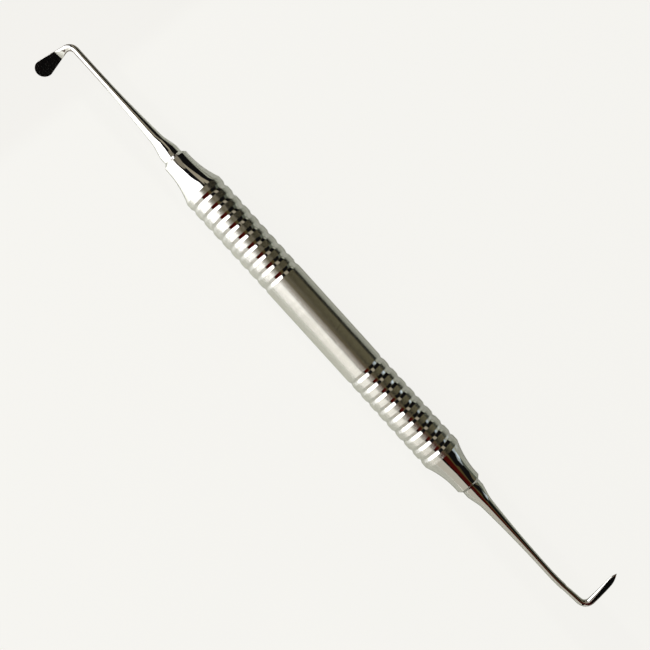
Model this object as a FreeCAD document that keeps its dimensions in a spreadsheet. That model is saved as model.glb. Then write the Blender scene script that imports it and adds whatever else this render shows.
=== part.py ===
import FreeCAD, Part

import math
import os

import Sketcher
from FreeCAD import Placement, Rotation, Vector

# A double-ended sinus lift instrument lying at rest, in millimetres.
# X runs along the handle from the spoon end to the pointed end and +Z is up.
# The origin is on the handle's axis, at the middle of its plain barrel.
# Three pieces: a hollow ringed handle and two forged working ends whose tangs sit in its noses.

SIZES = {
    # Handle, one half: plain barrel, ringed grip, concave flare and nose
    "barrel_length": 28.5,
    "barrel_diameter": 9.86,
    "grip_diameter": 10.04,
    "ring_count": 9,
    "groove_width": 1.68,
    "groove_depth": 0.36,
    "groove_lip_radius": 0.12,
    "groove_floor_radius": 0.25,
    "land_width": 1.40,
    "flare_length": 8.8,
    "nose_diameter": 6.48,
    "nose_length": 0.74,
    "nose_bevel": 0.8,
    "cavity_diameter": 6.8,
    "cavity_length": 77.0,
    "cavity_shoulder": 4.5,
    # Tang and collar, alike on both working ends
    "tang_diameter": 3.2,
    "tang_length": 9.0,
    "tang_bevel": 0.3,
    "tang_clearance": 0.02,
    "collar_diameter": 4.84,
    "collar_length": 1.85,
    "shank_flare_angle": 14.0,
    "shank_flare_blend": 10.0,
    # Spoon end: tapered shank, bend and round paddle with one flat face
    "spoon_shank_length": 33.3,
    "spoon_shank_diameter": 1.57,
    "spoon_taper_radius": 350.0,
    "spoon_taper_gap": 4.7,
    "spoon_bend_radius": 2.1,
    "spoon_bend_angle": 87.0,
    "spoon_reach": 10.52,
    "spoon_neck_diameter": 1.64,
    "spoon_width": 4.45,
    "spoon_back_depth": 0.62,
    "spoon_face_height": 0.1,
    "spoon_face_tilt": 40.0,
    "spoon_facet_slope": 24.0,
    "spoon_facet_start": 1.9,
    # Pointed end: tapered shank, slight sweep, bend and curved blade with one flat face
    "blade_shank_length": 28.2,
    "blade_shank_diameter": 1.62,
    "blade_taper_radius": 340.0,
    "blade_taper_gap": 0.2,
    "blade_sweep_radius": 60.0,
    "blade_sweep_angle": 6.0,
    "blade_heel_length": 4.2,
    "blade_root_setback": 5.3,
    "blade_root_diameter": 1.42,
    "blade_heel_diameter": 1.6,
    "blade_bend_radius": 2.0,
    "blade_bend_angle": 88.0,
    "blade_leg_radius": 55.0,
    "blade_leg_length": 9.15,
    "blade_width": 1.92,
    "blade_thickness": 1.5,
    "blade_point_length": 3.4,
    "blade_point_thinning": 0.35,
    "blade_face_height": 0.72,
    "blade_face_slope": 4.7,
    "blade_face_tilt": 15.0,
    # Lying at rest
    "spoon_rest_gap": 0.25,
}

document = FreeCAD.newDocument("sinus_lift_instrument")
sheet = document.addObject("Spreadsheet::Sheet", "Sizes")
for row, (alias, amount) in enumerate(SIZES.items(), start=1):
    sheet.set("A%d" % row, alias)
    sheet.set("B%d" % row, str(amount))
    sheet.setAlias("B%d" % row, alias)
document.recompute()


def size(expression):
    """The value of an expression in the sheet's aliases, such as 'barrel_length / 2'."""
    return float(sheet.evalExpression(expression))


def bound(expression):
    """The same expression as another object has to write it."""
    words = []
    for word in expression.split():
        bare = word.strip("()")
        words.append(word.replace(bare, "Sizes." + bare) if bare in SIZES else word)
    return " ".join(words)


def drive(sketch, constraint, expression):
    """Adds a dimension to a sketch and ties it to the sheet."""
    index = sketch.addConstraint(Sketcher.Constraint(*constraint, size(expression)))
    sketch.setExpression("Constraints[%d]" % index, bound(expression))


def drive_angle(sketch, constraint, expression):
    """Adds an angle to a sketch, from a cell that holds degrees."""
    degrees = size(expression)
    index = sketch.addConstraint(Sketcher.Constraint(*constraint, math.radians(degrees)))
    sketch.setExpression("Constraints[%d]" % index, bound(expression) + " * 1 deg")


def new_body(name):
    body = document.addObject("PartDesign::Body", name)
    body.Label = name
    return body


def origin_plane(body, role):
    return next(plane for plane in body.Origin.OriginFeatures if plane.Role == role)


def new_sketch(body, name, role="XZ_Plane"):
    sketch = body.newObject("Sketcher::SketchObject", name)
    sketch.AttachmentSupport = [(origin_plane(body, role), "")]
    sketch.MapMode = "FlatFace"
    return sketch


def pin(sketch, edge, end, across, up):
    """Holds one end of an edge at two expressions, measured from the sketch's origin."""
    for kind, expression in (("DistanceX", across), ("DistanceY", up)):
        if expression == "0":
            axis = -2 if kind == "DistanceX" else -1
            sketch.addConstraint(Sketcher.Constraint("PointOnObject", edge, end, axis))
        else:
            drive(sketch, (kind, -1, 1, edge, end), expression)


def place(across, up):
    return Vector(size(across), size(up), 0)


def chain(sketch, corners):
    """Draws straight edges through corners given as pairs of expressions and pins each corner."""
    edges = []
    for start, stop in zip(corners, corners[1:]):
        edges.append(sketch.addGeometry(Part.LineSegment(place(*start), place(*stop))))
    for edge, start in zip(edges, corners):
        pin(sketch, edge, 1, *start)
    pin(sketch, edges[-1], 2, *corners[-1])
    for before, after in zip(edges, edges[1:]):
        sketch.addConstraint(Sketcher.Constraint("Coincident", before, 2, after, 1))
    return edges


def turn(body, name, sketch, kind="PartDesign::Revolution"):
    """Turns a half section about the sketch's horizontal axis."""
    feature = body.newObject(kind, name)
    feature.Profile = sketch
    feature.ReferenceAxis = (sketch, ["H_Axis"])
    feature.Angle = 360.0
    sketch.Visibility = False
    document.recompute()
    return feature


# Handle: half a section turned about X, rings cut and repeated, then mirrored about the barrel's middle
GRIP_END = "barrel_length / 2 + ring_count * ( groove_width + land_width )"
NOSE_START = GRIP_END + " + flare_length"
NOSE_EDGE = NOSE_START + " + nose_length"
HANDLE_END = NOSE_EDGE + " + nose_bevel"
TANG_BORE = "tang_diameter / 2 + tang_clearance"

handle = new_body("handle")
section = new_sketch(handle, "handle_section")
inner = chain(section, [
    (NOSE_START, "nose_diameter / 2"),
    (NOSE_EDGE, "nose_diameter / 2"),
    (HANDLE_END, "nose_diameter / 2 - nose_bevel"),
    (HANDLE_END, TANG_BORE),
    ("cavity_length / 2 + cavity_shoulder", TANG_BORE),
    ("cavity_length / 2", "cavity_diameter / 2"),
    ("0", "cavity_diameter / 2"),
    ("0", "barrel_diameter / 2"),
    ("barrel_length / 2 + groove_width / 2", "barrel_diameter / 2"),
    (GRIP_END, "grip_diameter / 2"),
])
flare_drop = size("( grip_diameter - nose_diameter ) / 2")
flare_run = size("flare_length")
flare_radius = (flare_run**2 + flare_drop**2) / (2 * flare_drop)
flare_centre = place(NOSE_START, "nose_diameter / 2") + Vector(0, flare_radius, 0)
flare_sweep = math.asin(flare_run / flare_radius)
flare_circle = Part.Circle(flare_centre, Vector(0, 0, 1), flare_radius)
flare = section.addGeometry(
    Part.ArcOfCircle(flare_circle, 1.5 * math.pi - flare_sweep, 1.5 * math.pi))
section.addConstraint(Sketcher.Constraint("Coincident", inner[-1], 2, flare, 1))
section.addConstraint(Sketcher.Constraint("Tangent", flare, 2, inner[0], 1))
turn(handle, "handle_half", section)

# Ring groove: two straight sloping walls, a small rounded floor and lips rounded over onto the lands
LAND_EDGES = ("barrel_length / 2", "barrel_length / 2 + groove_width")
LIP_HEIGHT = "grip_diameter / 2 - groove_lip_radius"
MOUTH_HEIGHT = "grip_diameter / 2 + groove_depth"
FLOOR_MIDDLE = "( barrel_length + groove_width ) / 2"
FLOOR_HEIGHT = "grip_diameter / 2 - groove_depth + groove_floor_radius"

groove = new_sketch(handle, "ring_groove_section")
lip_radius = size("groove_lip_radius")
floor_radius = size("groove_floor_radius")
near_centre, far_centre = [place(edge, LIP_HEIGHT) for edge in LAND_EDGES]
floor_centre = place(FLOOR_MIDDLE, FLOOR_HEIGHT)
reach = floor_centre - near_centre
slope = math.asin((lip_radius + floor_radius) / reach.Length) - math.atan2(reach.y, reach.x)
near_wall_normal = Vector(math.sin(slope), math.cos(slope), 0)
far_wall_normal = Vector(-math.sin(slope), math.cos(slope), 0)
near_lip = groove.addGeometry(Part.ArcOfCircle(
    Part.Circle(near_centre, Vector(0, 0, 1), lip_radius), math.pi / 2 - slope, math.pi / 2))
far_lip = groove.addGeometry(Part.ArcOfCircle(
    Part.Circle(far_centre, Vector(0, 0, 1), lip_radius), math.pi / 2, math.pi / 2 + slope))
floor = groove.addGeometry(Part.ArcOfCircle(
    Part.Circle(floor_centre, Vector(0, 0, 1), floor_radius), 1.5 * math.pi - slope, 1.5 * math.pi + slope))
near_wall = groove.addGeometry(Part.LineSegment(
    near_centre + near_wall_normal * lip_radius, floor_centre - near_wall_normal * floor_radius))
far_wall = groove.addGeometry(Part.LineSegment(
    floor_centre - far_wall_normal * floor_radius, far_centre + far_wall_normal * lip_radius))
mouth = chain(groove, [
    (LAND_EDGES[0], "grip_diameter / 2"),
    (LAND_EDGES[0], MOUTH_HEIGHT),
    (LAND_EDGES[1], MOUTH_HEIGHT),
    (LAND_EDGES[1], "grip_diameter / 2"),
])
groove.addConstraint(Sketcher.Constraint("Coincident", near_lip, 2, mouth[0], 1))
groove.addConstraint(Sketcher.Constraint("Coincident", far_lip, 1, mouth[-1], 2))
groove.addConstraint(Sketcher.Constraint("Tangent", near_lip, 1, near_wall, 1))
groove.addConstraint(Sketcher.Constraint("Tangent", near_wall, 2, floor, 1))
groove.addConstraint(Sketcher.Constraint("Tangent", floor, 2, far_wall, 1))
groove.addConstraint(Sketcher.Constraint("Tangent", far_wall, 2, far_lip, 2))
pin(groove, near_lip, 3, LAND_EDGES[0], LIP_HEIGHT)
pin(groove, far_lip, 3, LAND_EDGES[1], LIP_HEIGHT)
pin(groove, floor, 3, FLOOR_MIDDLE, FLOOR_HEIGHT)
drive(groove, ("Radius", floor), "groove_floor_radius")

smooth_volume = handle.Shape.Volume
ring = turn(handle, "ring_groove", groove, "PartDesign::Groove")
RING_SPAN = "( ring_count - 1 ) * ( groove_width + land_width )"
rings = handle.newObject("PartDesign::LinearPattern", "ring_grooves")
rings.Originals = [ring]
rings.Direction = (groove, ["H_Axis"])
rings.Length = size(RING_SPAN)
rings.setExpression("Length", bound(RING_SPAN))
rings.Occurrences = int(size("ring_count"))
rings.setExpression("Occurrences", bound("ring_count"))
handle.Tip = rings
document.recompute()
ring_volume = smooth_volume - ring.Shape.Volume
rings_volume = smooth_volume - rings.Shape.Volume
assert ring_volume > 0 and rings_volume > 0.9 * size("ring_count") * ring_volume, "a ring groove cut nothing"

whole = handle.newObject("PartDesign::Mirrored", "handle_whole")
whole.TransformMode = "Whole shape"
whole.MirrorPlane = (origin_plane(handle, "YZ_Plane"), [""])
handle.Tip = whole
document.recompute()
assert whole.Shape.Volume > 1.99 * rings.Shape.Volume, "the handle's second half is missing"


def turned_shank(name, length, diameter, taper_radius, taper_gap):
    """The turned stretch of a working end: tang, collar, conical root and long concave taper."""
    collar_end = HANDLE_END + " + collar_length"
    taper_end = HANDLE_END + " + %s - %s" % (length, taper_gap)
    shank_end = HANDLE_END + " + " + length
    body = new_body(name)
    sketch = new_sketch(body, name + "_section")
    edges = chain(sketch, [
        (taper_end, diameter + " / 2"),
        (shank_end, diameter + " / 2"),
        (shank_end, "0"),
        (HANDLE_END + " - tang_length", "0"),
        (HANDLE_END + " - tang_length", "tang_diameter / 2 - tang_bevel"),
        (HANDLE_END + " - tang_length + tang_bevel", "tang_diameter / 2"),
        (HANDLE_END, "tang_diameter / 2"),
        (HANDLE_END, "collar_diameter / 2"),
        (collar_end, "collar_diameter / 2"),
    ])
    # The root is a straight cone, blended by one arc into the long arc of the taper
    root = place(collar_end, "collar_diameter / 2")
    slope = math.radians(size("shank_flare_angle"))
    blend = size("shank_flare_blend")
    long_arc = size(taper_radius)
    along = Vector(math.cos(slope), -math.sin(slope), 0)
    above = Vector(math.sin(slope), math.cos(slope), 0)
    taper_centre = place(taper_end, diameter + " / 2") + Vector(0, long_arc, 0)
    offset = root + above * blend - taper_centre
    ahead = offset.dot(along)
    gap = (long_arc - blend) ** 2 - offset.dot(offset)
    run = -ahead - math.sqrt(ahead**2 + gap)
    if run < 0:
        run = -ahead + math.sqrt(ahead**2 + gap)
    blend_centre = root + along * run + above * blend
    touch = math.atan2(blend_centre.y - taper_centre.y, blend_centre.x - taper_centre.x)
    cone = sketch.addGeometry(Part.LineSegment(root, root + along * run))
    blend_arc = sketch.addGeometry(Part.ArcOfCircle(
        Part.Circle(blend_centre, Vector(0, 0, 1), blend), -math.pi / 2 - slope, touch))
    taper_arc = sketch.addGeometry(Part.ArcOfCircle(
        Part.Circle(taper_centre, Vector(0, 0, 1), long_arc), touch, -math.pi / 2))
    sketch.addConstraint(Sketcher.Constraint("Coincident", edges[-1], 2, cone, 1))
    sketch.addConstraint(Sketcher.Constraint("Tangent", cone, 2, blend_arc, 1))
    sketch.addConstraint(Sketcher.Constraint("Tangent", blend_arc, 2, taper_arc, 1))
    sketch.addConstraint(Sketcher.Constraint("Tangent", taper_arc, 2, edges[0], 1))
    drive_angle(sketch, ("Angle", cone, 1, -1, 1), "shank_flare_angle")
    drive(sketch, ("Radius", blend_arc), "shank_flare_blend")
    drive(sketch, ("Radius", taper_arc), taper_radius)
    turn(body, name + "_turned", sketch)
    return body


class Centreline:
    """The path of a bent end in its own plane: arcs and straight runs, each tangent to the last."""

    def __init__(self, start):
        self.spans = []
        self.point = start
        self.heading = 0.0
        self.length = 0.0

    def add(self, length, radius=None):
        self.spans.append((self.length, length, radius, self.point, self.heading))
        self.point, self.heading = self.along(self.spans[-1], length)
        self.length += length

    def run(self, length):
        self.add(length)

    def bend(self, radius, degrees):
        self.add(radius * math.radians(degrees), radius)

    def along(self, span, travelled):
        start, heading, radius = span[3], span[4], span[2]
        if radius is None:
            return start + Vector(math.cos(heading), math.sin(heading), 0) * travelled, heading
        turned = heading + travelled / radius
        side = Vector(math.sin(turned) - math.sin(heading), math.cos(heading) - math.cos(turned), 0)
        return start + side * radius, turned

    def frame(self, distance, tilt):
        """A placement on the path: X along it, Y across the blade and Z out of the tilted face."""
        span = next(span for span in reversed(self.spans) if span[0] <= distance + 1e-9)
        point, heading = self.along(span, distance - span[0])
        ahead = Vector(math.cos(heading), math.sin(heading), 0)
        inward = Vector(-math.sin(heading), math.cos(heading), 0)
        across = inward * math.cos(tilt) - Vector(0, 0, 1) * math.sin(tilt)
        return Placement(point, Rotation(ahead, across, ahead.cross(across), "XYZ"))


def oval(name, centreline, distance, tilt, half_width, half_depth):
    """One oval section square to the path, its sizes tied to the sheet."""
    ring = document.addObject("Part::Ellipse", name)
    for half_axis, expression in (("MajorRadius", half_width), ("MinorRadius", half_depth)):
        setattr(ring, half_axis, size(expression))
        ring.setExpression(half_axis, bound(expression))
    upright = Placement(Vector(0, 0, 0), Rotation(Vector(0, 1, 0), Vector(0, 0, 1), Vector(1, 0, 0), "XYZ"))
    ring.Placement = centreline.frame(distance, tilt).multiply(upright)
    ring.Visibility = False
    return ring


def loft(name, centreline, tilt, stations):
    """A solid through oval sections, each given as a distance, a half width and a half depth."""
    # A degree of 2 keeps the skin from swinging wide between the sections
    solid = document.addObject("Part::Loft", name)
    solid.MaxDegree = 2
    solid.Sections = [
        oval("%s_section_%02d" % (name, index), centreline, distance, tilt, half_width, half_depth)
        for index, (distance, half_width, half_depth) in enumerate(stations)
    ]
    solid.Solid = True
    solid.Visibility = False
    document.recompute()
    return solid


def steps(count):
    """Even shares of a stretch, from its start up to the last one before its end."""
    return [round(step / count, 3) for step in range(count)]


def ground_flat(name, frame, outline, width):
    """The stock that grinding takes off a face: a side outline drawn along the blade and made wide."""
    sketch = document.addObject("Sketcher::SketchObject", name + "_outline")
    side_view = Rotation(Vector(1, 0, 0), Vector(0, 0, 1), Vector(0, -1, 0), "XYZ")
    sketch.Placement = frame.multiply(Placement(Vector(0, 0, 0), side_view))
    edges = chain(sketch, outline + outline[:1])
    stock = document.addObject("Part::Extrusion", name)
    stock.Base = sketch
    stock.DirMode = "Normal"
    stock.Solid = True
    stock.Symmetric = True
    stock.LengthFwd = size(width)
    stock.setExpression("LengthFwd", bound(width))
    sketch.Visibility = False
    document.recompute()
    return stock


def working_end(name, shank, forging, stock):
    """Grinds the face of a forging and joins it to the lengths of its shank as a single solid."""
    ground = document.addObject("Part::Cut", name + "_ground")
    ground.Base = forging
    ground.Tool = stock
    end = document.addObject("Part::MultiFuse", name)
    end.Shapes = shank + [ground]
    end.Refine = False
    end.Label = name
    document.recompute()
    pieces_volume = sum(piece.Shape.Volume for piece in end.Shapes)
    assert ground.Shape.Volume < 0.99 * forging.Shape.Volume, name + " has no ground face"
    assert abs(end.Shape.Volume - pieces_volume) < 0.02 * pieces_volume, name + " lost a piece"
    return end


# Spoon end: the shank thickens round its bend into a neck that widens to a round paddle
spoon_line = Centreline(place(HANDLE_END + " + spoon_shank_length", "0"))
spoon_line.bend(size("spoon_bend_radius"), size("spoon_bend_angle"))
spoon_bend_end = spoon_line.length
spoon_lean = math.sin(math.radians(size("spoon_bend_angle")))
spoon_leg = (size("spoon_reach") - spoon_line.point.y) / spoon_lean
spoon_line.run(spoon_leg)
spoon_centre = spoon_leg - size("spoon_width / 2")
spoon_tilt = math.radians(size("spoon_face_tilt"))
stations = []
for share in steps(6):
    rod = "spoon_shank_diameter / 2 + %s * ( spoon_neck_diameter - spoon_shank_diameter ) / 2" % share
    stations.append((share * spoon_bend_end, rod, rod))
for share in steps(6):
    stations.append((
        spoon_bend_end + share * spoon_centre,
        "spoon_neck_diameter / 2 + %s * ( spoon_width - spoon_neck_diameter ) / 2" % share,
        "spoon_neck_diameter / 2 + %s * ( spoon_back_depth - spoon_neck_diameter / 2 )" % share,
    ))
for angle in (0, 25, 45, 62, 75, 84):
    stations.append((
        spoon_bend_end + spoon_centre + size("spoon_width / 2") * math.sin(math.radians(angle)),
        "spoon_width / 2 * cos( %d deg )" % angle,
        "spoon_back_depth * cos( %d deg ) ^ 0.6" % angle,
    ))
spoon_forging = loft("spoon_forging", spoon_line, spoon_tilt, stations)
FACET_RISE = "spoon_face_height + spoon_facet_start * tan( spoon_facet_slope * 1 deg )"
spoon_stock = ground_flat("spoon_stock", spoon_line.frame(spoon_bend_end, spoon_tilt), [
    ("spoon_facet_start", "spoon_face_height"),
    ("spoon_reach", "spoon_face_height"),
    ("spoon_reach", "spoon_neck_diameter * 2"),
    ("0", "spoon_neck_diameter * 2"),
    ("0", FACET_RISE),
], "spoon_width * 2")
spoon_blank = turned_shank(
    "spoon_blank", "spoon_shank_length", "spoon_shank_diameter", "spoon_taper_radius", "spoon_taper_gap")
spoon_end = working_end("spoon_end", [spoon_blank], spoon_forging, spoon_stock)

# Pointed end: a rod swept slightly aside, then a root ground thinner, a bend and a curved pointed blade
blade_line = Centreline(place(HANDLE_END + " + blade_shank_length", "0"))
blade_line.bend(size("blade_sweep_radius"), size("blade_sweep_angle"))
blade_line.run(size("blade_heel_length"))
blade_heel = blade_line.length
blade_line.bend(size("blade_bend_radius"), size("blade_bend_angle"))
blade_bend_end = blade_line.length
blade_line.add(size("blade_leg_length"), size("blade_leg_radius"))
blade_tilt = -math.radians(size("blade_face_tilt"))
blade_root = size("blade_root_setback")

SWEPT_ANGLE = "blade_root_setback / blade_sweep_radius * 1 rad"
blade_rod = document.addObject("Part::Torus", "blade_rod")
for name, expression in (
    ("Radius1", "blade_sweep_radius"), ("Radius2", "blade_shank_diameter / 2"), ("Angle3", SWEPT_ANGLE),
):
    blade_rod.setExpression(name, bound(expression))
blade_rod.Placement = Placement(
    place(HANDLE_END + " + blade_shank_length", "blade_sweep_radius"),
    Rotation(Vector(0, 0, 1), -90))
document.recompute()

ROOT_RADIUS = "blade_root_diameter / 2"
HEEL_RADIUS = "blade_heel_diameter / 2"
stations = []
for share in steps(5):
    rod = ROOT_RADIUS + " + %s * ( blade_heel_diameter - blade_root_diameter ) / 2" % share
    stations.append((blade_root + share * (blade_heel - blade_root), rod, rod))
for share in steps(6):
    stations.append((
        blade_heel + share * (blade_bend_end - blade_heel),
        HEEL_RADIUS + " + %s * ( blade_width - blade_heel_diameter ) / 2" % share,
        HEEL_RADIUS + " + %s * ( blade_thickness - blade_heel_diameter ) / 2" % share,
    ))
blade_straight = size("blade_leg_length - blade_point_length")
for share in steps(4):
    stations.append((
        blade_bend_end + share * blade_straight,
        "blade_width / 2",
        "blade_thickness / 2 * ( 1 - %s * blade_point_thinning )" % share,
    ))
for share in (0.0, 0.35, 0.6, 0.8, 0.92, 0.98):
    stations.append((
        blade_bend_end + blade_straight + share * size("blade_point_length"),
        "blade_width / 2 * ( 1 - %s ^ 2 )" % share,
        "blade_thickness / 2 * ( 1 - blade_point_thinning ) * ( 1 - %s ^ 2 )" % share,
    ))
blade_forging = loft("blade_forging", blade_line, blade_tilt, stations)
FACE_DROP = "blade_face_height - %s * tan( blade_face_slope * 1 deg )"
blade_stock = ground_flat("blade_stock", blade_line.frame(blade_bend_end, blade_tilt), [
    ("blade_leg_length * 1.2", FACE_DROP % "blade_leg_length * 1.2"),
    ("blade_leg_length * 1.2", "blade_thickness * 2"),
    ("0 - blade_width", "blade_thickness * 2"),
    ("0 - blade_width", "blade_face_height + blade_width * tan( blade_face_slope * 1 deg )"),
], "blade_width * 4")
blade_blank = turned_shank(
    "blade_blank", "blade_shank_length", "blade_shank_diameter", "blade_taper_radius", "blade_taper_gap")
pointed_end = working_end("pointed_end", [blade_blank, blade_rod], blade_forging, blade_stock)

# Rest: the handle's two widest lands lie on the bench and the instrument is rolled towards its heavier
# spoon end, until the paddle's edge is just clear of the bench
bench = -size("grip_diameter / 2")
finest_roll = 0.001


def lowest_when_rolled(shape, half_turn, roll):
    rolled = shape.copy()
    rolled.Placement = Placement(Vector(0, 0, 0), Rotation(Vector(1, 0, 0), roll)).multiply(half_turn)
    return rolled.optimalBoundingBox(False).ZMin


spoon_turn = Placement(Vector(0, 0, 0), Rotation(Vector(0, 0, 1), 180))
blade_turn = Placement()
flat, upright = 0.0, 90.0
while upright - flat > finest_roll:
    roll = (flat + upright) / 2
    if lowest_when_rolled(spoon_end.Shape, spoon_turn, roll) > bench + size("spoon_rest_gap"):
        flat = roll
    else:
        upright = roll
roll_placement = Placement(Vector(0, 0, 0), Rotation(Vector(1, 0, 0), flat))
spoon_end.Placement = roll_placement.multiply(spoon_turn)
pointed_end.Placement = roll_placement.multiply(blade_turn)
document.recompute()

nodes = [handle, spoon_end, pointed_end]
for item in document.Objects:
    assert not {"Invalid", "Error"} & set(item.State), "%s: %s" % (item.Label, item.State)
for node in nodes:
    shape = node.Shape
    assert not shape.isNull() and shape.isValid() and len(shape.Solids) == 1, node.Label
    box = shape.optimalBoundingBox(False)
    corners = (box.XMin, box.YMin, box.ZMin, box.XMax, box.YMax, box.ZMax)
    print("%s: %.2f mm3, from (%.2f, %.2f, %.2f) to (%.2f, %.2f, %.2f)" % (
        node.Label, shape.Volume, *corners))
print("rolled %.2f degrees about the handle" % flat)

os.makedirs("parts", exist_ok=True)
for node in nodes:
    node.Shape.exportStep("parts/%s.step" % node.Label)
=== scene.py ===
import math

import bpy
from mathutils import Matrix, Vector


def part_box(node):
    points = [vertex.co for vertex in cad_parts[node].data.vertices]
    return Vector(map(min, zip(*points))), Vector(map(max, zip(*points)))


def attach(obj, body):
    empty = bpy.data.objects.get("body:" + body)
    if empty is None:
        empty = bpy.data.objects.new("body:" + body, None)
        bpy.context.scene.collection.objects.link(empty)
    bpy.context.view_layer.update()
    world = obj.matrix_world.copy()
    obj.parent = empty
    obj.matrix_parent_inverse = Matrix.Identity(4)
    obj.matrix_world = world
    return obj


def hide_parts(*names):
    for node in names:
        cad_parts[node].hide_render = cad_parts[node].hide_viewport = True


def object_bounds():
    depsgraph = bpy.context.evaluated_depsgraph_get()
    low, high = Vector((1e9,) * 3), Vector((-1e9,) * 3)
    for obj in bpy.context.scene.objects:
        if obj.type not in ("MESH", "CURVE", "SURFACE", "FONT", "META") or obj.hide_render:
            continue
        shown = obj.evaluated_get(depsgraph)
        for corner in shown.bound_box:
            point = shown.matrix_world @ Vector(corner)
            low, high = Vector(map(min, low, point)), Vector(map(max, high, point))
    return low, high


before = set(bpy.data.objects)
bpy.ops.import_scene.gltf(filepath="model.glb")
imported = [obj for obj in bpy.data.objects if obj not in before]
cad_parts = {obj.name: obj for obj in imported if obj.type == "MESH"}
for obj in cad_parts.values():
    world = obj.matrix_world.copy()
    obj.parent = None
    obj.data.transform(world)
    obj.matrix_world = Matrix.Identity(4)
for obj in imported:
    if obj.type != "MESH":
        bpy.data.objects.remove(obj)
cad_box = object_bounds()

mm = 0.001

# Handle: one length of stainless bar, drilled hollow and turned. A plain barrel lies between two grips
# of nine ring grooves, and a concave flare runs down to a short bevelled nose at each end.
# Barrel and lands are left with a fine turned satin; the grooves, flares and noses are buffed bright.
handle_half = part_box("handle")[1].x
barrel_half = 14.25 * mm
barrel_radius = 4.93 * mm
grip_radius = 5.02 * mm
ring_count = 9
groove_width = 1.68 * mm
groove_depth = 0.36 * mm
groove_lip = 0.12 * mm
groove_floor = 0.25 * mm
land_width = 1.40 * mm
nose_radius = 3.24 * mm
nose_bevel = 0.8 * mm
nose_length = 0.74 * mm
bore_radius = 1.62 * mm
cavity_radius = 3.4 * mm
cavity_half = 38.5 * mm
cavity_shoulder = 4.5 * mm
satin_colour = (0.62, 0.61, 0.58)
satin_roughness = 0.14
bright_colour = (0.64, 0.63, 0.61)
bright_roughness = 0.03
grip_end = barrel_half + ring_count * (groove_width + land_width)
nose_start = handle_half - nose_bevel - nose_length

SATIN, BRIGHT = 0, 1


def arc(across, up, radius, start, stop, count):
    """Points along an arc, its centre and radius in metres and its two ends in radians."""
    turns = [start + (stop - start) * step / count for step in range(count + 1)]
    return [(across + radius * math.cos(turn), up + radius * math.sin(turn)) for turn in turns]


def grip_surface(along):
    """The handle's radius before the rings are cut: level over the barrel, then swelling to the flare."""
    swell_start = barrel_half + groove_width / 2
    share = max(0.0, (along - swell_start) / (grip_end - swell_start))
    return barrel_radius + share * (grip_radius - barrel_radius)


def ring_groove(start):
    """One groove from its first lip to its second, as points of distance and radius."""
    lip_centre = grip_radius - groove_lip
    floor_centre = grip_radius - groove_depth + groove_floor
    rise = lip_centre - floor_centre
    slope = math.asin((groove_lip + groove_floor) / math.hypot(groove_width / 2, rise))
    slope += math.atan2(rise, groove_width / 2)
    upward = math.pi / 2
    middle = start + groove_width / 2
    outline = arc(start, lip_centre, groove_lip, upward, upward - slope, count=4)
    outline += arc(middle, floor_centre, groove_floor, -upward - slope, -upward + slope, count=8)
    outline += arc(start + groove_width, lip_centre, groove_lip, upward + slope, upward, count=4)
    return [(along, min(radius, grip_surface(along))) for along, radius in outline]


def handle_outline():
    """Half the handle's section, from mid-barrel out over the grip and back in through the bore.

    Returns its points and the finish of each band between two of them.
    """
    outline, finishes = [(0.0, barrel_radius)], []
    for ring in range(ring_count):
        cut = ring_groove(barrel_half + ring * (groove_width + land_width))
        finishes += [SATIN] + [BRIGHT] * (len(cut) - 1)
        outline += cut
    drop = grip_radius - nose_radius
    run = nose_start - grip_end
    flare_radius = (run**2 + drop**2) / (2 * drop)
    sweep = math.asin(run / flare_radius)
    bottom = 1.5 * math.pi
    flare = arc(nose_start, nose_radius + flare_radius, flare_radius, bottom - sweep, bottom, count=24)
    outline += flare + [
        (handle_half - nose_bevel, nose_radius),
        (handle_half, nose_radius - nose_bevel),
        (handle_half, bore_radius),
        (cavity_half + cavity_shoulder, bore_radius),
        (cavity_half, cavity_radius),
    ]
    finishes += [SATIN] + [BRIGHT] * (len(outline) - len(finishes) - 2)
    return outline, finishes


def new_piece(name, points, faces, finishes, materials, crease):
    """A smooth-shaded mesh piece that rides on the frame's one body. Edges over the crease stay crisp."""
    mesh = bpy.data.meshes.new(name)
    mesh.from_pydata(points, [], faces)
    for material in materials:
        mesh.materials.append(material)
    mesh.polygons.foreach_set("material_index", finishes)
    mesh.polygons.foreach_set("use_smooth", [True] * len(faces))
    mesh.set_sharp_from_angle(angle=math.radians(crease))
    piece = bpy.data.objects.new(name, mesh)
    bpy.context.scene.collection.objects.link(piece)
    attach(piece, "root")
    return piece


class Shading:
    """The nodes of one material or world."""

    def __init__(self, tree):
        self.tree = tree

    def feed(self, target, value):
        """Gives a socket a plain value, or links another node's output to it."""
        if isinstance(value, Socket):
            self.tree.links.new(value.output, target)
        else:
            target.default_value = value

    def node(self, kind, settings=None, inputs=None, output=0):
        """Adds a node: its settings, then its sockets' values or links. Returns one of its outputs."""
        made = self.tree.nodes.new(kind)
        for setting, value in (settings or {}).items():
            setattr(made, setting, value)
        for label, value in (inputs or {}).items():
            self.feed(made.inputs[label], value)
        return made if output is None else Socket(self, made.outputs[output])


class Socket:
    """One output of a node, so that shader maths reads as plain expressions."""

    def __init__(self, shading, output):
        self.shading = shading
        self.output = output

    def maths(self, operation, *values):
        return self.shading.node("ShaderNodeMath", {"operation": operation}, dict(enumerate(values)))

    def __add__(self, other):
        return self.maths("ADD", self, other)

    def __radd__(self, other):
        return self.maths("ADD", other, self)

    def __sub__(self, other):
        return self.maths("SUBTRACT", self, other)

    def __rsub__(self, other):
        return self.maths("SUBTRACT", other, self)

    def __mul__(self, other):
        return self.maths("MULTIPLY", self, other)

    def __rmul__(self, other):
        return self.maths("MULTIPLY", other, self)

    def __abs__(self):
        return self.maths("ABSOLUTE", self)


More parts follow.
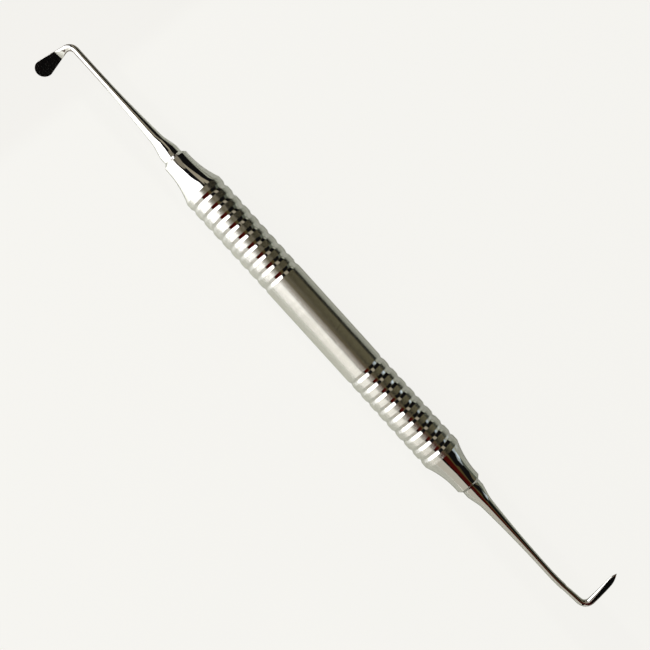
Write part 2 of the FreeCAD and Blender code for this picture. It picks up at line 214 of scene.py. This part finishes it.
def new_steel(name, colour):
    """A bare steel with its colour on the shader's own sockets. Returns it, its nodes and its shader."""
    material = bpy.data.materials.new(name)
    material.use_nodes = True
    steel = material.node_tree.nodes["Principled BSDF"]
    steel.inputs["Base Color"].default_value = (*colour, 1.0)
    steel.inputs["Metallic"].default_value = 1.0
    return material, Shading(material.node_tree), steel


def turned_satin():
    """Fine tool lines that run round the bar, over a satin that varies a little from place to place."""
    material, shading, steel = new_steel("turned_satin_steel", satin_colour)
    place = shading.node("ShaderNodeTexCoord", output="Object")
    stretched = shading.node("ShaderNodeMapping", inputs={"Vector": place, "Scale": (36000.0, 60.0, 60.0)})
    lines = shading.node(
        "ShaderNodeTexNoise", inputs={"Vector": stretched, "Scale": 1.0, "Detail": 3.0, "Roughness": 0.6})
    clouds = shading.node("ShaderNodeTexNoise", inputs={"Vector": place, "Scale": 900.0, "Detail": 2.0})
    bump = shading.node("ShaderNodeBump", inputs={"Strength": 1.0, "Distance": 1e-5, "Height": lines})
    shading.feed(steel.inputs["Roughness"], satin_roughness + lines * 0.05 + clouds * 0.04)
    shading.feed(steel.inputs["Normal"], bump)
    return material


def buffed_bright():
    """A near mirror with the faint haze and hairlines that a buffing wheel leaves."""
    material, shading, steel = new_steel("buffed_bright_steel", bright_colour)
    place = shading.node("ShaderNodeTexCoord", output="Object")
    haze = shading.node("ShaderNodeTexNoise", inputs={"Vector": place, "Scale": 700.0, "Detail": 3.0})
    hairs = shading.node("ShaderNodeMapping", inputs={"Vector": place, "Scale": (900.0, 9000.0, 9000.0)})
    hairlines = shading.node("ShaderNodeTexNoise", inputs={"Vector": hairs, "Scale": 1.0, "Detail": 2.0})
    bump = shading.node("ShaderNodeBump", inputs={"Strength": 0.15, "Distance": 1e-6, "Height": hairlines})
    shading.feed(steel.inputs["Roughness"], bright_roughness + haze * 0.05)
    shading.feed(steel.inputs["Normal"], bump)
    return material


satin_steel = turned_satin()
bright_steel = buffed_bright()


def turned_handle():
    """The whole section, its second half mirrored, swept round the handle's axis."""
    around = 160
    half, finishes = handle_outline()
    outline = half + [(-along, radius) for along, radius in reversed(half)][:-1]
    bands = finishes + [BRIGHT] + finishes[::-1]
    points, faces, materials = [], [], []
    for along, radius in outline:
        for step in range(around):
            turn = 2 * math.pi * step / around
            points.append((along, radius * math.cos(turn), radius * math.sin(turn)))
    count = len(outline)
    for ring in range(count):
        after = (ring + 1) % count
        for step in range(around):
            beside = (step + 1) % around
            faces.append((
                ring * around + step, ring * around + beside,
                after * around + beside, after * around + step))
            materials.append(bands[ring])
    return new_piece("turned_handle", points, faces, materials, (satin_steel, bright_steel), crease=15)


handle = turned_handle()
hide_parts("handle")

# Working ends, what both share: each is one hardened stainless forging, turned to a tang, a collar and
# a long tapering shank, then bent and ground flat on one side. The tang is fixed in the handle's nose.
# Both bends lie in one plane through the handle's axis, rolled as the instrument lies on the bench.
tang_radius = 1.6 * mm
tang_length = 9.0 * mm
tang_bevel = 0.3 * mm
collar_radius = 2.42 * mm
collar_length = 1.85 * mm
root_slope = math.radians(14.0)
root_blend = 10.0 * mm


class Path:
    """The bent centreline of a working end: arcs and straight runs, each tangent to the last."""

    def __init__(self, start):
        self.spans = []
        self.point = Vector((start, 0.0, 0.0))
        self.heading = 0.0
        self.length = 0.0

    def add(self, length, radius=None):
        """Runs on by a length, straight or, where a radius is given, along an arc."""
        self.spans.append((self.length, radius, self.point, self.heading))
        self.point, self.heading = self.along(self.spans[-1], length)
        self.length += length

    def bend(self, radius, angle):
        self.add(radius * angle, radius)

    def along(self, span, travelled):
        """The point and the heading at a distance into one span."""
        radius, start, heading = span[1:]
        if radius is None:
            return start + Vector((math.cos(heading), math.sin(heading), 0.0)) * travelled, heading
        turned = heading + travelled / radius
        side = Vector((math.sin(turned) - math.sin(heading), math.cos(heading) - math.cos(turned), 0.0))
        return start + side * radius, turned

    def axes(self, distance, tilt):
        """Where the path is, its direction, the way across the tip and the way out of its tilted face."""
        span = next(span for span in reversed(self.spans) if span[0] <= distance + 1e-9)
        point, heading = self.along(span, distance - span[0])
        ahead = Vector((math.cos(heading), math.sin(heading), 0.0))
        inward = Vector((-math.sin(heading), math.cos(heading), 0.0))
        across = inward * math.cos(tilt) - Vector((0.0, 0.0, 1.0)) * math.sin(tilt)
        return point, ahead, across, ahead.cross(across)


def shank_outline(length, radius, taper_radius, taper_gap):
    """The turned outline from the tang's end to the shank's: (distance, radius) points."""
    collar_end = handle_half + collar_length
    taper_end = handle_half + length - taper_gap
    cone = Vector((math.cos(root_slope), -math.sin(root_slope)))
    above = Vector((math.sin(root_slope), math.cos(root_slope)))
    root = Vector((collar_end, collar_radius))
    centre = Vector((taper_end, radius + taper_radius))
    offset = root + above * root_blend - centre
    ahead = offset.dot(cone)
    reach = math.sqrt(ahead**2 + (taper_radius - root_blend) ** 2 - offset.dot(offset))
    run = -ahead - reach if -ahead > reach else -ahead + reach
    hollow = root + cone * run + above * root_blend
    touch = math.atan2(hollow.y - centre.y, hollow.x - centre.x)
    return (
        [(handle_half - tang_length, tang_radius - tang_bevel),
         (handle_half - tang_length + tang_bevel, tang_radius),
         (handle_half, tang_radius), (handle_half, collar_radius), (collar_end, collar_radius)]
        + arc(hollow.x, hollow.y, root_blend, -math.pi / 2 - root_slope, touch, count=12)
        + arc(centre.x, centre.y, taper_radius, touch, -math.pi / 2, count=60)[1:]
        + [(handle_half + length, radius)])


# Points round each section of a tip, and how many of them lie on its ground face
around_tip = 96
around_face = 24


def oval(point, across, out, half_width, half_depth, height=math.inf, lean=0.0):
    """One closed section of a tip: an oval, cut off above a line at a height that may lean across it."""
    reach = math.hypot(half_depth, lean * half_width)
    middle = -math.atan2(lean * half_width, half_depth)
    spread = math.acos(height / reach) if height < reach else 0.0
    least = math.pi * around_face / around_tip
    if spread > least:
        start, stop = middle - spread, middle + spread
    else:
        start, stop = -least, least
        spread = 0.0
    first = (half_width * math.sin(start), half_depth * math.cos(start))
    last = (half_width * math.sin(stop), half_depth * math.cos(stop))
    ring = []
    for step in range(around_face):
        share = step / around_face
        if spread:
            side = first[0] + share * (last[0] - first[0])
            up = first[1] + share * (last[1] - first[1])
        else:
            turn = start + share * (stop - start)
            side = half_width * math.sin(turn)
            up = min(half_depth * math.cos(turn), height + lean * side)
        ring.append((side, up))
    rest = around_tip - around_face
    for step in range(rest):
        turn = stop + step / rest * (2 * math.pi - stop + start)
        ring.append((half_width * math.sin(turn), half_depth * math.cos(turn)))
    return [point + across * side + out * up for side, up in ring]


def settled_roll(rings, turn, lowest):
    """The roll about the handle that brings the lowest point of an end down to a given height."""
    turned = [Matrix.Rotation(turn, 3, "Z") @ corner for ring in rings for corner in ring]
    level, upright = 0.0, math.pi / 2
    halvings = 24
    for _ in range(halvings):
        roll = (level + upright) / 2
        if min(corner.y * math.sin(roll) + corner.z * math.cos(roll) for corner in turned) > lowest:
            level = roll
        else:
            upright = roll
    return level


def working_end(name, rings, turn, roll):
    """Skins a row of sections into one closed piece, turns it to its end of the handle and rolls it."""
    count = len(rings[0])
    placed = Matrix.Rotation(roll, 4, "X") @ Matrix.Rotation(turn, 4, "Z")
    points = [placed @ corner for ring in rings for corner in ring]
    faces = [tuple(range(count))[::-1]]
    for ring in range(len(rings) - 1):
        for step in range(count):
            beside = (step + 1) % count
            faces.append((
                ring * count + step, ring * count + beside,
                (ring + 1) * count + beside, (ring + 1) * count + step))
    faces.append(tuple((len(rings) - 1) * count + step for step in range(count)))
    return new_piece(name, points, faces, [0] * len(faces), (bright_steel,), crease=20)


def shank_rings(outline, tilt):
    """The round sections of a shank, their points counted from the tip's tilted face."""
    across = Vector((0.0, math.cos(tilt), -math.sin(tilt)))
    out = Vector((0.0, math.sin(tilt), math.cos(tilt)))
    return [oval(Vector((along, 0.0, 0.0)), across, out, radius, radius) for along, radius in outline]


def shares(count):
    """Equal steps from nothing up to just short of the whole."""
    return [step / count for step in range(count)]


def blend(start, stop, share):
    """The value a share of the way from one to the other."""
    return start + share * (stop - start)


# Spoon end: the shank tapers to a thin wire, turns almost square round a small bend and widens through
# a neck to a small round paddle. The paddle's face is ground flat, with a short slanting facet before it,
# and its back is left rounded.
spoon_shank_length = 33.3 * mm
spoon_shank_radius = 0.785 * mm
spoon_taper_radius = 350 * mm
spoon_taper_gap = 4.7 * mm
spoon_bend_radius = 2.1 * mm
spoon_bend_angle = math.radians(87.0)
spoon_reach = 10.52 * mm
spoon_neck_radius = 0.82 * mm
spoon_half_width = 2.225 * mm
spoon_back_depth = 0.62 * mm
spoon_back_fullness = 0.6
spoon_face_height = 0.1 * mm
spoon_tilt = math.radians(40.0)
facet_slope = math.radians(24.0)
facet_start = 1.9 * mm


def spoon_rings():
    """The spoon end's sections, from the tang's end to the paddle's tip."""
    path = Path(handle_half + spoon_shank_length)
    path.bend(spoon_bend_radius, spoon_bend_angle)
    bend_end = path.length
    leg = (spoon_reach - path.point.y) / math.sin(spoon_bend_angle)
    path.add(leg)
    neck = leg - spoon_half_width
    bend_rows, neck_rows, paddle_rows = 28, 56, 40

    def section(distance, half_width, half_depth):
        point, _, across, out = path.axes(distance, spoon_tilt)
        past = distance - bend_end
        height = spoon_face_height + max(0.0, facet_start - past) * math.tan(facet_slope)
        return oval(point, across, out, half_width, half_depth, height if past > 0 else math.inf)

    outline = shank_outline(spoon_shank_length, spoon_shank_radius, spoon_taper_radius, spoon_taper_gap)
    rings = shank_rings(outline, spoon_tilt)
    for share in shares(bend_rows)[1:]:
        radius = blend(spoon_shank_radius, spoon_neck_radius, share)
        rings.append(section(share * bend_end, radius, radius))
    for share in sorted(shares(neck_rows) + [facet_start / neck]):
        rings.append(section(
            bend_end + share * neck,
            blend(spoon_neck_radius, spoon_half_width, share),
            blend(spoon_neck_radius, spoon_back_depth, share)))
    for share in shares(paddle_rows):
        turn = share * math.pi / 2
        rings.append(section(
            bend_end + neck + spoon_half_width * math.sin(turn),
            spoon_half_width * math.cos(turn),
            spoon_back_depth * math.cos(turn) ** spoon_back_fullness))
    return rings


# The instrument is rolled towards this end, until the paddle's edge is as low as the frame has it
rest_roll = settled_roll(spoon_rings(), math.pi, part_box("spoon_end")[0].z)
spoon = working_end("polished_spoon_end", spoon_rings(), math.pi, rest_roll)
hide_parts("spoon_end")

# Pointed end: a shorter shank swept slightly aside, stepped down where the tip was ground, then bent
# square into a slim blade that curves gently to its point. One side of the blade is ground flat and
# widens from the bend towards the point.
blade_shank_length = 28.2 * mm
blade_shank_radius = 0.81 * mm
blade_taper_radius = 340 * mm
blade_taper_gap = 0.2 * mm
blade_sweep_radius = 60.0 * mm
blade_sweep_angle = math.radians(6.0)
blade_heel_length = 4.2 * mm
blade_root_setback = 5.3 * mm
blade_root_radius = 0.71 * mm
blade_heel_radius = 0.80 * mm
blade_bend_radius = 2.0 * mm
blade_bend_angle = math.radians(88.0)
blade_leg_radius = 55.0 * mm
blade_leg_length = 9.15 * mm
blade_half_width = 0.96 * mm
blade_half_depth = 0.75 * mm
blade_point_length = 3.4 * mm
blade_thinning = 0.35
blade_face_height = 0.72 * mm
blade_face_slope = math.radians(4.7)
blade_tilt = math.radians(-15.0)


def blade_rings():
    """The pointed end's sections, from the tang's end to the point."""
    path = Path(handle_half + blade_shank_length)
    path.bend(blade_sweep_radius, blade_sweep_angle)
    path.add(blade_heel_length)
    heel = path.length
    path.bend(blade_bend_radius, blade_bend_angle)
    bend_end = path.length
    path.add(blade_leg_length, blade_leg_radius)
    origin, along, _, outward = path.axes(bend_end, blade_tilt)
    ground = outward + along * math.tan(blade_face_slope)
    grinding_start = -2 * blade_half_width
    least_facing = 0.5
    root_rows, heel_rows, bend_rows, leg_rows, point_rows = 16, 20, 28, 36, 48

    def section(distance, half_width, half_depth):
        point, _, across, out = path.axes(distance, blade_tilt)
        facing = out.dot(ground)
        if (point - origin).dot(along) < grinding_start or facing < least_facing:
            return oval(point, across, out, half_width, half_depth)
        height = (blade_face_height - (point - origin).dot(ground)) / facing
        return oval(point, across, out, half_width, half_depth, height, -across.dot(ground) / facing)

    outline = shank_outline(blade_shank_length, blade_shank_radius, blade_taper_radius, blade_taper_gap)
    rings = shank_rings(outline, blade_tilt)
    for share in shares(root_rows)[1:] + [1.0]:
        rings.append(section(share * blade_root_setback, blade_shank_radius, blade_shank_radius))
    for share in shares(heel_rows):
        radius = blend(blade_root_radius, blade_heel_radius, share)
        rings.append(section(blend(blade_root_setback, heel, share), radius, radius))
    for share in shares(bend_rows):
        rings.append(section(
            blend(heel, bend_end, share),
            blend(blade_heel_radius, blade_half_width, share),
            blend(blade_heel_radius, blade_half_depth, share)))
    straight = blade_leg_length - blade_point_length
    for share in shares(leg_rows):
        rings.append(section(
            bend_end + share * straight, blade_half_width, blade_half_depth * (1 - share * blade_thinning)))
    for share in shares(point_rows):
        taper = 1 - share**2
        rings.append(section(
            bend_end + straight + share * blade_point_length,
            blade_half_width * taper, blade_half_depth * (1 - blade_thinning) * taper))
    return rings


blade = working_end("polished_pointed_end", blade_rings(), 0.0, rest_roll)
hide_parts("pointed_end")

# Bench: the instrument lies on a plain pale sheet that runs on well past the view. To the camera it is
# an even pale tone with the object's faint shadow. In the steel it shows as it is lit, a little glossy,
# so that it mirrors the lamp and the walls near the object. It also shows painted shade under the handle
# and past the spoon end's bend, and a painted glow, not lamplight, in the corner under the lamp.
bench_level = cad_box[0].z
bench_half = 6.0
bench_tone = (0.935, 0.925, 0.892)
shadow_share = 0.06

# Its tones in the steel: painted shade under the handle, a painted brownish shade past the bend of the
# spoon end, and the sheet's own tone everywhere else
painted_shade_under = (0.55, 0.57, 0.49)
painted_shade_beyond = (0.38, 0.33, 0.28)
bench_in_steel = (0.88, 0.90, 0.80)
painted_shade_under_edge = (4.5 * mm, 7.5 * mm)
painted_shade_beyond_edge = (-75.5 * mm, -81.5 * mm)

# The painted glow in the corner, from where each of its edges begins to where it is full. The near edge
# slants.
painted_corner_glow = 0.9
corner_left = (-78.0 * mm, -72.0 * mm)
corner_right = (-42.0 * mm, -52.0 * mm)
corner_near = (-10.0 * mm, -11.6 * mm)
corner_slant = 0.098


def soft_edge(shading, place, edge):
    """A mask that rises smoothly from nothing at the edge's first place to one at its second."""
    return shading.node(
        "ShaderNodeMapRange", {"interpolation_type": "SMOOTHSTEP"},
        {"Value": place, "From Min": edge[0], "From Max": edge[1]})


def mixed_colour(shading, mask, under, over):
    """The colour over where the mask is one, and the colour under where it is nothing."""
    return shading.node("ShaderNodeMix", {"data_type": "RGBA"}, {0: mask, 6: under, 7: over}, output=2)


def pale_sheet():
    """The bench's material: an even tone to the camera, and to the steel lit tones with painted shade and a
    painted glow.
    """
    material = bpy.data.materials.new("pale_sheet")
    material.use_nodes = True
    shading = Shading(material.node_tree)
    sheet = material.node_tree.nodes["Principled BSDF"]
    sheet.inputs["Roughness"].default_value = 0.2
    sheet.inputs["IOR"].default_value = 2.0
    seen = shading.node("ShaderNodeLightPath", output="Is Camera Ray")
    mirrored = shading.node("ShaderNodeLightPath", output="Is Glossy Ray")
    place = shading.node("ShaderNodeTexCoord", output="Object")
    along = shading.node("ShaderNodeSeparateXYZ", inputs={"Vector": place}, output="X")
    across = shading.node("ShaderNodeSeparateXYZ", inputs={"Vector": place}, output="Y")
    # Painted shade: the sheet's tone darkens close under the handle, where the steel mirrors it at its
    # edges
    clear = soft_edge(shading, abs(across), painted_shade_under_edge)
    # Painted shade: a darker brownish tone past the spoon end's bend, for the paddle's facet to mirror
    beyond = soft_edge(shading, along, painted_shade_beyond_edge)
    tone = mixed_colour(shading, clear, (*painted_shade_under, 1.0), (*bench_in_steel, 1.0))
    tone = mixed_colour(shading, beyond, tone, (*painted_shade_beyond, 1.0))
    shading.feed(sheet.inputs["Base Color"], tone)
    # Painted light: a glow in one corner that only glossy rays see; no lamp lights it
    left = soft_edge(shading, along, corner_left)
    right = soft_edge(shading, along, corner_right)
    near = soft_edge(shading, across + along * corner_slant, corner_near)
    corner = shading.node(
        "ShaderNodeEmission", inputs={"Strength": mirrored * left * right * near * painted_corner_glow})
    even = shading.node("ShaderNodeEmission", inputs={"Color": (*bench_tone, 1.0), "Strength": 1.0})
    lit = shading.node("ShaderNodeAddShader", inputs={0: Socket(shading, sheet.outputs[0]), 1: corner})
    mix = shading.node("ShaderNodeMixShader", inputs={0: seen * (1 - shadow_share), 1: lit, 2: even})
    shading.feed(material.node_tree.nodes["Material Output"].inputs["Surface"], mix)
    return material


def staged(name, points, faces, material):
    """A mesh that is part of the studio and not of the instrument."""
    mesh = bpy.data.meshes.new(name)
    mesh.from_pydata(points, [], faces)
    mesh.materials.append(material)
    thing = bpy.data.objects.new(name, mesh)
    bpy.context.scene.collection.objects.link(thing)
    return thing


bench_corners = [
    (x * bench_half, y * bench_half, bench_level) for x, y in ((-1, -1), (1, -1), (1, 1), (-1, 1))]
staged("bench_sheet", bench_corners, [(0, 1, 2, 3)], pale_sheet())

# Studio: a large soft box stands to one side, and the rest of the room is dark, with plain walls and a
# few cards that show only in the steel. Each spans from one bearing to another, counted from +X
# towards +Y, as seen from the middle of the handle or from another place on the bench.
box_left = Vector((-0.60, 0.05))
box_right = Vector((-0.088, -0.556))
box_rim = (
    (0.0, 0.55), (0.27, 0.55), (0.33, 0.57), (0.48, 0.65), (0.70, 0.68), (0.90, 0.60), (1.0, 0.52))
box_glow = 3.3
right_flare = (0.047, 0.0)
right_tip = (0.0915, 0.0055)


def glowing(name, colour):
    """A flat even glow of one colour."""
    material = bpy.data.materials.new(name)
    material.use_nodes = True
    material.node_tree.nodes.clear()
    shading = Shading(material.node_tree)
    glow = shading.node("ShaderNodeEmission", inputs={"Color": (*colour, 1.0), "Strength": 1.0})
    shading.node("ShaderNodeOutputMaterial", inputs={"Surface": glow}, output=None)
    return material


def studio_panel(name, points, faces, colour, lights):
    """A glowing panel that shows in the steel and, where it lights, on the bench too."""
    panel = staged(name, points, faces, glowing(name, colour))
    panel.visible_camera = False
    panel.visible_diffuse = lights
    panel.visible_shadow = False


def soft_box():
    """The lamp's upright face. Its rim is a row of shares of its width, each with its height there."""
    top = [(*box_left.lerp(box_right, share), height) for share, height in box_rim]
    points = [(*box_left, 0.0), (*box_right, 0.0)] + top[::-1]
    studio_panel("soft_box", points, [tuple(range(len(points)))], (box_glow, box_glow, box_glow), True)


def wall(name, colour, bearings, low, tops, distance=0.8, seen_from=(0.0, 0.0)):
    """A patch of the room, in degrees: between two bearings, from one low height up to a row of tops."""
    across, up = 24, 8
    points, faces = [], []
    for row in range(up + 1):
        for column in range(across + 1):
            share = column / across
            place = share * (len(tops) - 1)
            before = min(int(place), len(tops) - 2)
            top = blend(tops[before], tops[before + 1], place - before)
            height = math.radians(blend(low, top, row / up))
            bearing = math.radians(blend(bearings[0], bearings[1], share))
            points.append((
                seen_from[0] + distance * math.cos(height) * math.cos(bearing),
                seen_from[1] + distance * math.cos(height) * math.sin(bearing),
                distance * math.sin(height)))
    for row in range(up):
        for column in range(across):
            corner = row * (across + 1) + column
            faces.append((corner, corner + 1, corner + across + 2, corner + across + 1))
    studio_panel(name, points, faces, colour, False)


soft_box()
wall("box_haze_low", (1.1, 1.07, 0.98), (238, 268), 48, (62, 60), 0.85)
wall("box_haze_middle", (0.60, 0.57, 0.50), (238, 286), 61, (70, 67), 0.85)
wall("box_haze_right", (0.90, 0.86, 0.78), (286, 303), 50, (70, 66), 0.85)
wall("box_haze_high", (0.50, 0.47, 0.40), (230, 310), 69, (80, 80), 0.85)
wall("warm_wall_low", (0.45, 0.40, 0.30), (141, 153), 8, (34, 34))
wall("warm_wall_high", (0.45, 0.40, 0.30), (139, 162), 34, (64, 64))
wall("warm_ceiling", (0.30, 0.265, 0.20), (112, 228), 64, (78, 78), 0.85)
wall("olive_ceiling", (0.16, 0.14, 0.085), (0, 360), 78, (89, 89), 0.9)
wall("olive_side", (0.15, 0.135, 0.08), (62, 98), 25, (78, 78))
wall("grey_side", (0.12, 0.135, 0.105), (53, 75), 10, (25, 25))
wall("sheet_rise_left", (0.45, 0.47, 0.38), (95, 130), 0, (10, 10))
wall("sheet_rise_far", (0.45, 0.47, 0.38), (75, 95), 0, (4, 4))
wall("sheet_rise_right", (0.45, 0.47, 0.38), (40, 75), 0, (9, 9))
wall("window", (0.8, 0.95, 1.05), (44, 51), 9, (18, 18), 0.7)
wall("window_edge", (0.50, 0.58, 0.62), (34, 44), 7, (17, 17), 0.7)
wall("window_blind", (0.42, 0.48, 0.50), (40, 51), 18, (29, 29), 0.7)
wall("red_drape", (0.07, 0.006, 0.004), (285, 363), 0, (78, 78), 0.9)
wall("olive_strip_low", (0.09, 0.065, 0.025), (363, 372), 0, (47, 47), 0.9)
wall("olive_strip_high", (0.09, 0.065, 0.025), (363, 386), 47, (78, 78), 0.9)
wall("grey_wall", (0.85, 0.83, 0.74), (293, 340), 0, (46, 39, 31, 20, 2))
wall("box_spill_left", (1.15, 1.12, 1.03), (264, 277), 0, (52, 52))
wall("box_spill_right", (1.5, 1.47, 1.38), (277, 293), 0, (54, 51))
wall("dark_door", (0.004, 0.004, 0.004), (328, 337), 14, (24, 24), 0.75)
wall("grey_card", (0.66, 0.63, 0.54), (278, 337), 0, (57, 54, 46, 24), 0.08, right_flare)
wall("card_edge", (0.004, 0.004, 0.004), (278, 340), 0, (63, 60, 54, 34), 0.083, right_flare)
wall("dark_flag", (0.004, 0.004, 0.004), (325, 365), 22, (55, 55), 0.05, right_tip)


fill = 0.3
fill_in_steel = 0.008


def studio_world():
    """A soft fill on the bench, and almost dark in the steel."""
    world = bpy.data.worlds.new("studio")
    bpy.context.scene.world = world
    world.use_nodes = True
    shading = Shading(world.node_tree)
    mirrored = shading.node("ShaderNodeLightPath", output="Is Glossy Ray")
    background = world.node_tree.nodes["Background"]
    background.inputs["Color"].default_value = (1.0, 0.98, 0.93, 1.0)
    shading.feed(background.inputs["Strength"], fill - mirrored * (fill - fill_in_steel))


studio_world()

# Camera: above the instrument and a little to the soft box's side, as the photograph was taken. The
# handle slants down to the right across the picture.
camera_place = Vector((-10.48, -49.9, 224.9)) * mm
camera_aim = Vector((0.53, 0.0, 0.0)) * mm
handle_slant = (0.6717, -0.7408)


def photograph_camera():
    """A camera with the photograph's place, aim and slant."""
    lens = bpy.data.cameras.new("camera")
    lens.sensor_width = 36.0
    lens.lens = 54.0
    lens.clip_start = 0.01
    lens.clip_end = 50.0
    camera = bpy.data.objects.new("camera", lens)
    back = (camera_place - camera_aim).normalized()
    along = Vector((1.0, 0.0, 0.0))
    along = (along - back * along.dot(back)).normalized()
    beside = back.cross(along)
    right = along * handle_slant[0] - beside * handle_slant[1]
    up = along * handle_slant[1] + beside * handle_slant[0]
    camera.matrix_world = Matrix((right, up, back)).transposed().to_4x4()
    camera.location = camera_place
    bpy.context.scene.collection.objects.link(camera)
    bpy.context.scene.camera = camera


photograph_camera()

bpy.context.scene.view_settings.view_transform = "Standard"
